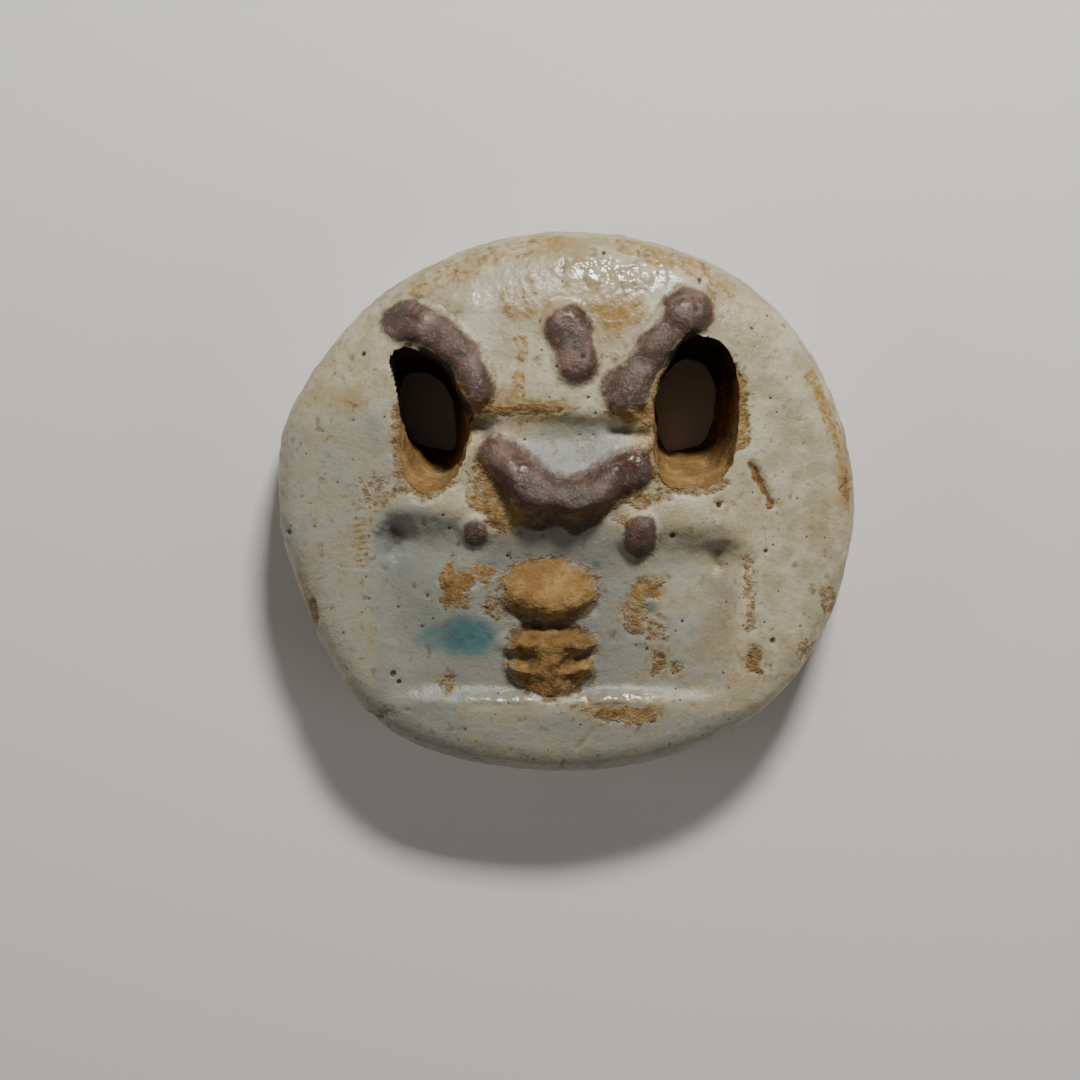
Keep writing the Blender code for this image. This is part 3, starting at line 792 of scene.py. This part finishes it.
# %% Move the points, by mm out of the surface
WALL_ROUGHNESS = 0.15
SAND_RISE, FLAKE_DEPTH = 0.04, 0.06
CRUMB_RISE, FURROW_DEPTH, CRUST_DEPTH = 0.2, 0.1, 0.03
PORE_DEPTH, CRACK_DEPTH, PIT_DEPTH = 0.12, 0.24, 0.05
RIM_ROUGHNESS, RIM_WEAR = 0.1, 0.06
KEPT_BELOW_SOLID = 0.02

grain = crumb(places, 0.42, 81)
furrows = furrow(places, 0.95, 85)
pits = soft((crumb(places, 0.75, 97) - 0.42) / 0.25) * open_face  # where the noise is high
skin = 0.035 * crumb(places, 2.6, 91) + 0.03 * crumb(places, 0.6, 93) - PIT_DEPTH * pits
rough_rim = RIM_ROUGHNESS * crumb(places, 0.85, 99) - RIM_WEAR
rough_rim = soft((0.85 - normals[:, 2]) / 0.3) * rough_rim
smooth_lip = soft(1.35 - oval(places[:, 0], places[:, 1], (-1.2, -4.7), 3.4, 1.9))
crumbly = bare * (1.0 - walls) * (1.0 - 0.95 * smooth_lip)
crust = CRUMB_RISE * crumb(places, 0.8, 89) - FURROW_DEPTH * furrows - CRUST_DEPTH
moved = skin + rough_rim + walls * WALL_ROUGHNESS * crumb(places, 0.9, 95)
moved = moved + bare * (SAND_RISE * grain - FLAKE_DEPTH)
moved = moved + crumbly * crust
moved = moved - PORE_DEPTH * pore - CRACK_DEPTH * crack
moved *= soft((places[:, 2] - 0.02) / 0.6)
places = places + normals * moved[:, None]
places[:, 2] = np.clip(places[:, 2], 0.0, solid_box[1][2] / MM - KEPT_BELOW_SOLID)
amulet.data.vertices.foreach_set("co", (places * MM).ravel())
amulet.data.update()
amulet.data.shade_smooth()
amulet.data.set_sharp_from_angle(angle=math.radians(55))
print("moved by up to", round(float(np.abs(moved).max()), 3), "mm")

# %% [markdown]
# ## What the material needs to know
#
# The paint, the worn places, the stains, the painted shade and dirt in the hollows, the
# painted shadows and the painted shade in the eyes are written on the points as numbers
# from 0 to 1. They could be painted by hand. Worked out from the same strokes and ovals,
# they fit the carving exactly.

# %% The paint
PAINTED_OVALS = [
    ((-11.2, 13.5), 1.9, 1.6, 1.0), ((8.6, 14.2), 1.8, 1.7, 1.0), ((6.3, 11.8), 1.5, 1.4, 0.9),
    ((4.1, 8.9), 1.9, 1.7, 0.75), ((0.1, 12.9), 1.8, 1.8, 1.0), ((-6.5, -1.5), 1.0, 1.0, 0.75),
    ((5.2, -1.7), 1.25, 1.6, 0.95),
]
PAINTED_STROKES = [
    (LEFT_BROW, 1.45, 1.0), (RIGHT_BROW, 1.3, 0.9), (MARK, 1.4, 1.0), (NOSE_FOLD, 1.55, 1.0),
]


def painted(places):
    """How strong the manganese paint is: the brows, the mark, the fold and the knobs, with an
    edge that ran in the glaze over about 0.5 mm, plus painted shade in the same colour under the
    nose."""
    x = places[:, 0] + 0.22 * crumb(places, 1.1, 101)
    y = places[:, 1] + 0.22 * crumb(places, 1.1, 103)
    paint = strongest(x, y, PAINTED_OVALS, 1.2, 0.4)
    for line, half_width, strength in PAINTED_STROKES:
        inside = soft((half_width + 0.6 - stroke(x, y, line)) / 1.2)
        paint = np.maximum(paint, strength * inside)
    # Painted shade: the underside of the nose, between the fold and the nostrils, gets the dark
    # paint colour
    below = soft((3.7 - np.abs(x + 0.7)) / 0.9) * soft((1.4 - y) / 0.7)
    below = below * soft((y + 1.1 + nostrils(x)) / 0.6)
    return np.maximum(paint, 0.95 * below)


# %% Stains, painted shadows, gloss and hollows
COPPER = [
    ((-7.1, -9.2), 2.9, 1.9, 1.0), ((-9.2, -9.3), 2.8, 1.5, 0.6),
    ((-10.2, -7.1), 1.8, 0.7, 0.4), ((-12.4, -2.8), 1.6, 3.4, 0.4),
    ((2.3, -3.8), 0.5, 0.35, 0.75), ((6.2, -7.0), 0.6, 0.5, 0.7), ((6.2, -15.2), 0.5, 0.3, 0.7),
    ((12.9, 11.4), 1.6, 1.2, 0.2), ((-17.6, 5.0), 1.6, 2.0, 0.15),
]
# Painted shadows: soft dark patches in the sunk field's two upper corners below the cheeks, and a
# strip under the lip
PAINTED_SHADOWS = [
    ((-12.3, -1.9), 1.2, 1.3, 0.65), ((11.4, -3.2), 1.5, 0.7, 0.5),
    ((-1.0, -8.35), 2.6, 0.3, 0.5),
]
GLOSSY = [
    ((3.4, 16.9), 6.2, 1.9, 1.0), ((-14.0, -1.0), 1.6, 1.0, 0.7), ((12.6, -2.4), 1.6, 0.8, 0.5),
    ((-7.2, 15.0), 2.2, 0.9, 0.8), ((-10.4, 14.2), 1.3, 0.9, 1.0), ((0.4, 14.3), 1.2, 0.9, 1.0),
    ((8.3, 15.3), 1.6, 1.0, 1.0), ((4.0, 3.9), 1.5, 0.9, 1.0), ((-3.2, 3.9), 1.0, 0.9, 0.9),
    ((-4.5, -13.5), 3.0, 0.45, 0.8), ((3.6, -13.5), 3.6, 0.45, 0.8),
    ((-0.2, 15.5), 7.5, 3.2, 0.45),
]


def soft_ovals(places, ovals, reach, seed):
    """The strongest of some ovals with very soft edges, pushed about by up to reach in mm."""
    x = places[:, 0] + reach * crumb(places, 1.8, seed)
    y = places[:, 1] + reach * crumb(places, 1.8, seed + 2)
    return strongest(x, y, ovals, 1.25, 1.0)


def hollow(x, y, reach):
    """How deep a place lies among its neighbours: the mean height of eight places round it
    at that reach, less its own height, in mm."""
    around = np.arange(8) * math.pi / 4
    ring = [carving(x + reach * math.cos(turn), y + reach * math.sin(turn)) for turn in around]
    return np.mean(ring, axis=0) - carving(x, y)


def cool(places):
    """Where the glaze pooled and looks blue-grey: the sunk field, the bridge and the chin."""
    x, y = places[:, 0], places[:, 1]
    across = soft((x + 14.5) / 3.0) * soft((13.5 - x) / 3.0)
    field = across * soft((y + 14.5) / 1.5) * soft((1.0 - y) / 3.0)
    bridge = soft(1.3 - oval(x, y, (0.6, 4.4), 4.6, 2.9))
    chin = 0.7 * soft((-13.0 - y) / 2.5)
    left = 0.6 * soft((-5.5 - x) / 6.0) * soft((11.0 - y) / 6.0)
    return np.clip(field * (0.9 - 0.35 * soft((x - 2.0) / 6.0)) + bridge + chin + left, 0.0, 1.0)


# %% Write the marks
deep = hollow(places[:, 0], places[:, 1], 0.7)
marks = {
    "manganese_and_nose_shade": painted(places) * open_face,
    "bare": bare,
    "crumbly": crumbly,
    "ochre": ochre * (1.0 - walls),
    "copper": soft_ovals(places, COPPER, 0.6, 111) * open_face,
    "gloss": soft_ovals(places, GLOSSY, 0.3, 121) * open_face,
    # Painted shade and dirt: darker where the carving lies below its neighbours, and along the
    # cracks
    "hollow": np.maximum(soft(deep / 0.3) * open_face, 0.8 * crack),
    "painted_shadow": soft_ovals(places, PAINTED_SHADOWS, 0.3, 141) * open_face,
    "pore": pore,
    "cool": cool(places) * soft((places[:, 2] - 1.0) / 9.0),
    # Painted shade: the eyes' walls turn dark where they face down
    "eye_wall_shade": walls * (1.0 - soft((normals[:, 1] + 0.6) / 0.7)),
    "pitted": pits,
}
for name, values in marks.items():
    layer = amulet.data.attributes.new(name, "FLOAT", "POINT")
    layer.data.foreach_set("value", values.astype(np.float32))
print("marks:", {name: round(float(values.mean()), 3) for name, values in marks.items()})

# %% [markdown]
# ## The material: weathered faience
#
# Faience is quartz sand held by a little glaze. Its own glaze is a soda-lime glass, so
# the gloss is that of glass, dulled by burial. Bare body is matt and grainy. Manganese
# turns the glaze a purple brown and copper a turquoise.

# %% Colours and nodes


def linear(colour):
    """A hex colour as screens give it, turned to the linear values that light adds up in."""
    values = [int(colour[i:i + 2], 16) / 255 for i in (1, 3, 5)]
    return [
        value / 12.92 if value <= 0.04045 else ((value + 0.055) / 1.055) ** 2.4
        for value in values
    ] + [1.0]


def add_node(kind, inputs, **settings):
    """A node with its settings; each input is a value or the socket that feeds it."""
    node = tree.nodes.new(kind)
    for name, value in settings.items():
        setattr(node, name, value)
    for name, value in inputs.items():
        if isinstance(value, bpy.types.NodeSocket):
            tree.links.new(value, node.inputs[name])
        else:
            node.inputs[name].default_value = value
    return node


faience = bpy.data.materials.new("weathered_faience")
faience.use_nodes = True
tree = faience.node_tree
tree.nodes.clear()
where = add_node("ShaderNodeTexCoord", {}).outputs["Object"]

# %% [markdown]
# ## Patterns at the size of the real thing
#
# Every pattern is a noise whose width is given in mm: clouds in the glaze, blotches,
# spots of dirt, drops of thick glaze, grit and sand. Grains of the real body are about
# 0.1 mm, too fine for the picture, so the sand is drawn coarser, at 0.24 mm. The marks on
# the points join the patterns, and so do specks, which are small round dots.

# %% Patterns and marks
# Width in mm, detail and roughness of each noise
PATTERNS = {
    "clouds": (6.0, 5.0, 0.6),
    "blotches": (2.4, 4.0, 0.6),
    "spots": (0.9, 4.0, 0.65),
    "drops": (0.8, 1.0, 0.5),
    "grit": (0.45, 4.0, 0.65),
    "sand": (0.24, 3.0, 0.6),
}
SPECK_SPACING = 1.1
source = {}
for name, (width, detail, rough) in PATTERNS.items():
    inputs = {"Vector": where, "Scale": 1 / (width * MM), "Detail": detail, "Roughness": rough}
    source[name] = add_node("ShaderNodeTexNoise", inputs).outputs["Fac"]
for name in marks:
    source[name] = add_node("ShaderNodeAttribute", {}, attribute_name=name).outputs["Fac"]
inputs = {"Vector": where, "Scale": 1 / (SPECK_SPACING * MM), "Randomness": 1.0}
distance = add_node("ShaderNodeTexVoronoi", inputs).outputs["Distance"]
inputs = {"Value": distance, "From Min": 0.15, "From Max": 0.06, "To Min": 0.0, "To Max": 1.0}
source["specks"] = add_node("ShaderNodeMapRange", inputs).outputs["Result"]
print("patterns and marks:", len(source))


def coat(under, over, mark, pattern, gain, start, full, most=1.0):
    """One colour laid over another by an amount, and that amount: a smooth step from start
    to full of the mark plus gain times the pattern about its middle, times most."""
    inputs = {0: source[pattern], 1: gain, 2: source[mark] if mark else 0.0}
    summed = add_node("ShaderNodeMath", inputs, operation="MULTIPLY_ADD").outputs[0]
    low, high = start + gain / 2, full + gain / 2
    inputs = {"Value": summed, "From Min": low, "From Max": high, "To Max": most}
    step = add_node("ShaderNodeMapRange", inputs, interpolation_type="SMOOTHSTEP")
    amount = step.outputs["Result"]
    mixed = add_node("ShaderNodeMix", {0: amount, 6: under, 7: over}, data_type="RGBA")
    return mixed.outputs[2], amount


# %% Glaze colour
GLAZE = linear("#968B6D")
GLAZE_PALE = linear("#AFA58A")
GLAZE_TAN = linear("#866E40")
GLAZE_COOL = linear("#74776E")
STAIN = linear("#5F4728")
SPECK = linear("#3E2E20")

colour, _ = coat(GLAZE, GLAZE_PALE, None, "blotches", 1.0, -0.12, 0.14)
colour, _ = coat(colour, GLAZE_TAN, None, "clouds", 1.0, -0.02, 0.18, 0.7)
colour, _ = coat(colour, GLAZE_COOL, "cool", "blotches", 1.2, 0.15, 0.95, 0.88)
colour, _ = coat(colour, GLAZE_TAN, None, "grit", 1.0, 0.0, 0.2, 0.45)
colour, _ = coat(colour, STAIN, None, "spots", 1.0, 0.08, 0.24, 0.5)
colour, _ = coat(colour, STAIN, "pitted", "sand", 0.6, 0.4, 1.0, 0.55)
colour, _ = coat(colour, SPECK, "specks", "blotches", 1.5, 0.6, 0.9, 0.8)

# %% Ochre stains, copper, and manganese with the painted shade under the nose
OCHRE = linear("#856217")
OLIVE = linear("#5E4C1C")
TURQUOISE = linear("#2B5B5E")
MANGANESE = linear("#3C2218")
MANGANESE_DARK = linear("#1C0D08")
MANGANESE_PALE = linear("#7A5C50")

iron, _ = coat(OCHRE, OLIVE, None, "spots", 1.0, 0.04, 0.16, 0.8)
colour, _ = coat(colour, iron, "ochre", "grit", 2.0, 0.32, 1.15, 0.9)
colour, _ = coat(colour, TURQUOISE, "copper", "blotches", 0.7, 0.1, 1.0, 0.8)
paint, _ = coat(MANGANESE, MANGANESE_DARK, None, "spots", 1.0, -0.04, 0.14, 0.9)
paint, _ = coat(paint, MANGANESE_PALE, None, "grit", 1.0, 0.02, 0.18, 0.65)
paint, _ = coat(paint, MANGANESE_PALE, None, "blotches", 1.0, 0.0, 0.16, 0.45)
# Manganese paint, and painted shade in the same colour on the nose's underside
colour, manganese_and_shade_amount = coat(colour, paint, "manganese_and_nose_shade", "grit", 1.0, 0.16, 0.86, 0.93)

# %% Bare body, and painted shade in the eyes
BODY_ORANGE = linear("#7C5A28")
BODY_PALE = linear("#9E8048")
BODY_DEEP = linear("#35220E")
EYE_WALL_SHADE = linear("#1E140C")

sand, _ = coat(BODY_ORANGE, BODY_PALE, None, "blotches", 1.0, -0.06, 0.16, 0.8)
sand, _ = coat(sand, BODY_DEEP, None, "grit", 1.0, 0.04, 0.24, 0.6)
sand, _ = coat(sand, BODY_DEEP, "crumbly", "spots", 2.0, 0.75, 1.4, 0.65)
colour, bare_amount = coat(colour, sand, "bare", "grit", 1.6, 0.3, 0.95)
# Painted shade on the downward-facing walls of the eyes
colour, _ = coat(colour, EYE_WALL_SHADE, "eye_wall_shade", "spots", 0.8, 0.15, 0.7, 0.9)

# %% Painted shade and dirt in the hollows, painted shadows, and darkened pores
SHADE_AND_DIRT = linear("#4A3824")
PORE = linear("#1E1610")
# Painted shade and dirt in the hollows, darker along the cracks
colour, _ = coat(colour, SHADE_AND_DIRT, "hollow", "spots", 0.8, 0.3, 1.1, 0.65)
# Painted shadows in the field's upper corners and under the lip
colour, _ = coat(colour, SHADE_AND_DIRT, "painted_shadow", "grit", 0.8, 0.1, 1.2, 0.8)
colour, _ = coat(colour, PORE, "pore", "sand", 0.2, 0.3, 0.7, 0.95)

# %% [markdown]
# ## Grain and gloss
#
# Where light skims the surface, relief too fine for the mesh shows as bump: sand on bare
# body, fainter on the paint, and the least on glaze. Where the glaze is thick and wet the
# sand is calmed, and drops take its place, which break the highlight into glints. The
# roughness follows the same marks: bare body is the dullest and wet glaze the least.

# %% Bump
inputs = {0: manganese_and_shade_amount, 1: 0.3, 2: 0.3}
paint_share = add_node("ShaderNodeMath", inputs, operation="MULTIPLY_ADD").outputs[0]
inputs = {0: bare_amount, 1: 0.7, 2: paint_share}
sand_share = add_node("ShaderNodeMath", inputs, operation="MULTIPLY_ADD").outputs[0]
inputs = {0: source["grit"], 1: sand_share}
grit_height = add_node("ShaderNodeMath", inputs, operation="MULTIPLY").outputs[0]
inputs = {0: source["sand"], 1: sand_share, 2: grit_height}
fine = add_node("ShaderNodeMath", inputs, operation="MULTIPLY_ADD").outputs[0]
inputs = {0: source["gloss"], 1: -0.85, 2: 1.0}
calm = add_node("ShaderNodeMath", inputs, operation="MULTIPLY_ADD").outputs[0]
fine = add_node("ShaderNodeMath", {0: fine, 1: calm}, operation="MULTIPLY").outputs[0]
inputs = {0: source["gloss"], 1: 2.0}
drops = add_node("ShaderNodeMath", inputs, operation="MULTIPLY").outputs[0]
inputs = {0: source["drops"], 1: drops, 2: fine}
height = add_node("ShaderNodeMath", inputs, operation="MULTIPLY_ADD").outputs[0]
inputs = {"Strength": 1.0, "Distance": 0.15 * MM, "Height": height}
bump = add_node("ShaderNodeBump", inputs).outputs["Normal"]

# %% Roughness and shader
inputs = {"Value": source["blotches"], "From Min": 0.3, "From Max": 0.7}
inputs |= {"To Min": 0.4, "To Max": 0.56}
dull = add_node("ShaderNodeMapRange", inputs).outputs["Result"]
inputs = {0: source["gloss"], 1: -0.3, 2: dull}
wet = add_node("ShaderNodeMath", inputs, operation="MULTIPLY_ADD").outputs[0]
inputs = {0: manganese_and_shade_amount, 1: 0.1, 2: wet}
matt = add_node("ShaderNodeMath", inputs, operation="MULTIPLY_ADD").outputs[0]
inputs = {0: bare_amount, 1: 0.4, 2: matt}
roughness = add_node("ShaderNodeMath", inputs, operation="MULTIPLY_ADD").outputs[0]
inputs = {"Base Color": colour, "Roughness": roughness, "Normal": bump}
inputs |= {"Metallic": 0.0, "IOR": 1.5}
shader = add_node("ShaderNodeBsdfPrincipled", inputs)
add_node("ShaderNodeOutputMaterial", {"Surface": shader.outputs["BSDF"]})
amulet.data.materials.clear()
amulet.data.materials.append(faience)
print("faience:", len(tree.nodes), "nodes")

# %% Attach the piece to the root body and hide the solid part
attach(amulet, "root")
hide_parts("bes_amulet")

# %% [markdown]
# ## Table, light and camera
#
# The amulet lies on a plain pale table. One small lamp above the brow and a little to the
# right draws the glints and the shadows below the nose and lips. It stands so steep that
# none of its light falls on the table through an eye. Two large dim lamps and an even
# grey sky fill the shadows.

# %% The table


def plain_material(name, colour, roughness):
    """One colour with an even finish."""
    material = bpy.data.materials.new(name)
    material.use_nodes = True
    shader = material.node_tree.nodes["Principled BSDF"]
    shader.inputs["Base Color"].default_value = linear(colour)
    shader.inputs["Roughness"].default_value = roughness
    return material


TABLE = 900.0
corners = np.array([(-1, -1, 0), (1, -1, 0), (1, 1, 0), (-1, 1, 0)]) * TABLE
table = make_mesh("table", corners, [[0, 1, 2, 3]])
table.data.materials.append(plain_material("pale_paper", "#D4D1CB", 0.9))

# %% The lamps and the sky


def lamp(name, place, width, height, power, target=(0.0, 0.0, 8.0)):
    """A rectangular lamp at a place in mm, turned to look at the target."""
    light = bpy.data.objects.new(name, bpy.data.lights.new(name, "AREA"))
    light.data.shape = "RECTANGLE"
    light.data.size = width * MM
    light.data.size_y = height * MM
    light.data.energy = power
    light.location = [value * MM for value in place]
    look = np.array(target) - np.array(place)
    flat = math.hypot(look[0], look[1])
    tilt, turn = math.atan2(flat, -look[2]), math.atan2(look[1], look[0]) - math.pi / 2
    light.rotation_euler = (tilt, 0.0, turn)
    bpy.context.scene.collection.objects.link(light)
    return light


lamp("key", (40, 172, 162), 44, 26, 0.8)
lamp("left_fill", (-330, -60, 150), 240, 240, 0.35)
lamp("right_fill", (300, -160, 150), 240, 240, 0.3)
sky = bpy.data.worlds.new("studio")
sky.use_nodes = True
sky.node_tree.nodes["Background"].inputs["Color"].default_value = linear("#EDEFF2")
sky.node_tree.nodes["Background"].inputs["Strength"].default_value = 0.06
bpy.context.scene.world = sky

# %% The camera, found from the photograph's perspective
FOCAL_PIXELS, PHOTO_PIXELS, SENSOR = 2000, 1080, 36
camera = bpy.data.objects.new("camera", bpy.data.cameras.new("camera"))
camera.data.sensor_width = SENSOR
camera.data.lens = SENSOR * FOCAL_PIXELS / PHOTO_PIXELS
camera.data.clip_start = 0.005
camera.location = (-1.91 * MM, 16.1 * MM, (BODY + 140.9) * MM)
camera.rotation_euler = (math.radians(-7.3), 0.0, 0.0)
bpy.context.scene.collection.objects.link(camera)
bpy.context.scene.camera = camera
